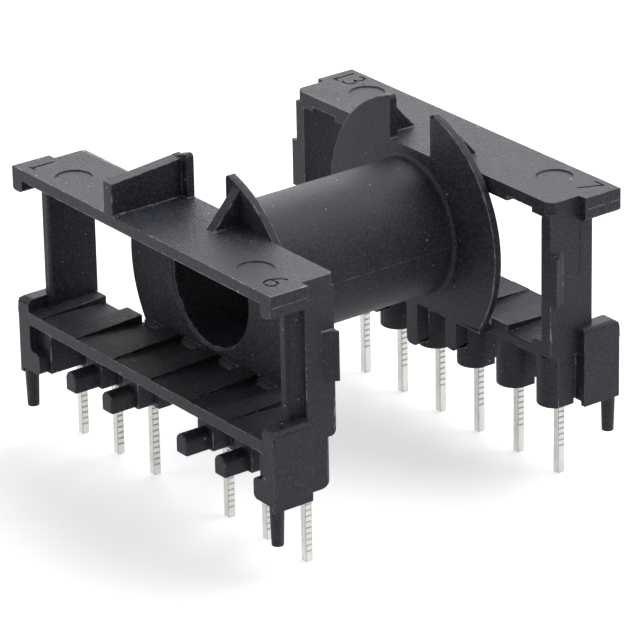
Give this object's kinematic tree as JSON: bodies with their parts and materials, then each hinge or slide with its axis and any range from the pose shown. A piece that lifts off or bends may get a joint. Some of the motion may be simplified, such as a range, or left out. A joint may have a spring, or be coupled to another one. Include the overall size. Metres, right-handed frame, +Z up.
{
  "type": "transformer bobbin",
  "caption": "Horizontal coil former with a flanged round winding tube and a pin rail at each end, for a ferrite core with a round centre leg.",
  "frame": {"origin": "centre of the footprint, at the height of the pin tips", "axes": "+X along the pin rows from pin 1 to pin 6, +Y along the winding tube from the row that lacks its middle pin to the full row, +Z up from the board"},
  "size_m": [0.0346, 0.0344, 0.0278],
  "materials": {
    "moulding": "black glass-filled thermoset, fine matt",
    "pin": "tinned, satin"
  },
  "bodies": {
    "root": {"coil_former": "moulding", "pin_01": "pin", "pin_02": "pin", "pin_03": "pin", "pin_04": "pin", "pin_05": "pin", "pin_06": "pin", "pin_07": "pin", "pin_08": "pin", "pin_09": "pin", "pin_10": "pin", "pin_11": "pin", "pin_12": "pin", "pin_13": "pin"}
  },
  "joints": []
}
